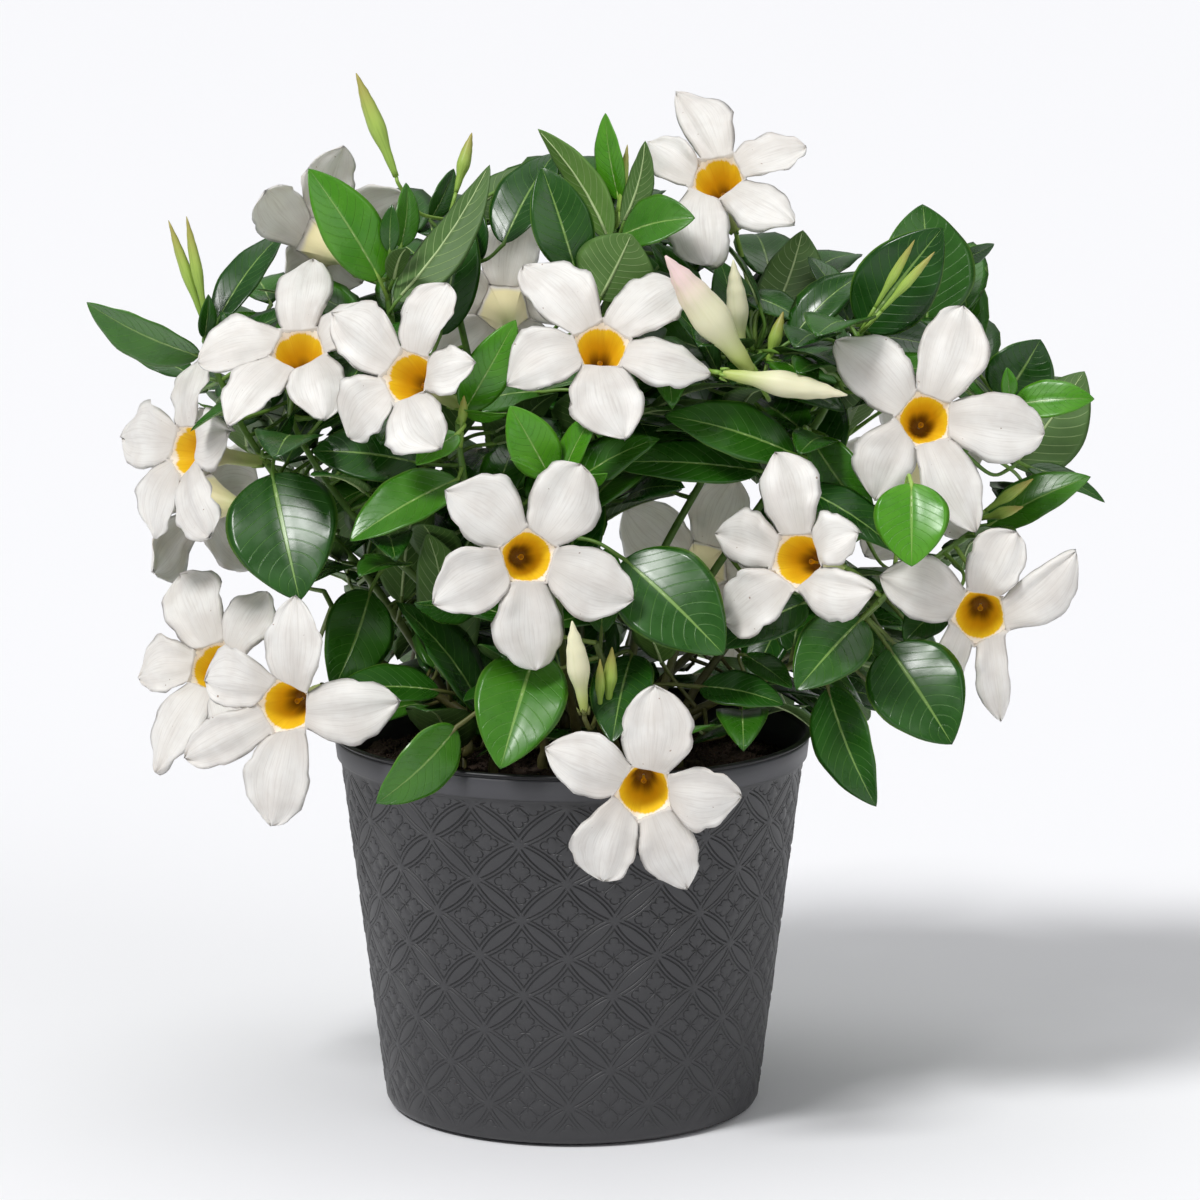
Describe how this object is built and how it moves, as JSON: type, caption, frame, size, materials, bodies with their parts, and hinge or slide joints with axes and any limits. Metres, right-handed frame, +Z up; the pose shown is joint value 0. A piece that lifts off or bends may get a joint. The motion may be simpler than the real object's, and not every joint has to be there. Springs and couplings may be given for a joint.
{
  "type": "potted mandevilla",
  "caption": "Bushy white-flowering mandevilla with glossy opposite leaves, growing from soil in a round dark grey planter with an embossed wall.",
  "frame": {"origin": "centre of the planter's flat underside, on the ground it stands on", "axes": "+Z up through the planter's axis, -Y towards the viewer of the picture, +X to the viewer's right"},
  "size_m": [0.507, 0.3947, 0.5128],
  "materials": {
    "pot": "satin moulded charcoal polypropylene",
    "soil": "matt dark brown peat mix",
    "foliage": "glossy dark green leaves and green stems",
    "petals": "soft white petals",
    "throats": "golden yellow flower throat",
    "buds": "cream flower bud"
  },
  "bodies": {
    "root": {"pot": "pot", "soil": "soil", "shoot_left_high": "foliage", "shoot_left_mid": "foliage", "shoot_left_top": "foliage", "shoot_centre_left": "foliage", "shoot_top_back": "foliage", "shoot_crown": "foliage", "shoot_bud_branch": "foliage", "shoot_right_high": "foliage", "shoot_right_far": "foliage", "shoot_right_mid": "foliage", "shoot_right_low": "foliage", "shoot_front": "foliage", "shoot_front_low": "foliage", "shoot_left_low": "foliage", "shoot_back_left": "foliage", "shoot_back_mid": "foliage", "shoot_back_right": "foliage", "shoot_back_low": "foliage", "bloom_01": "petals", "bloom_02": "petals", "bloom_03": "petals", "bloom_04": "petals", "bloom_05": "petals", "bloom_06": "petals", "bloom_07": "petals", "bloom_08": "petals", "bloom_09": "petals", "bloom_10": "petals", "bloom_11": "petals", "bloom_12": "petals", "bloom_13": "petals", "bloom_14": "petals", "bloom_15": "petals", "bloom_16": "petals", "bloom_17": "petals", "throat_01": "throats", "throat_02": "throats", "throat_03": "throats", "throat_04": "throats", "throat_05": "throats", "throat_06": "throats", "throat_07": "throats", "throat_08": "throats", "throat_09": "throats", "throat_10": "throats", "throat_11": "throats", "throat_12": "throats", "throat_13": "throats", "throat_14": "throats", "throat_15": "throats", "throat_16": "throats", "throat_17": "throats", "bud_01": "buds", "bud_02": "buds", "bud_03": "buds", "bud_04": "buds", "bud_05": "buds"}
  },
  "joints": []
}
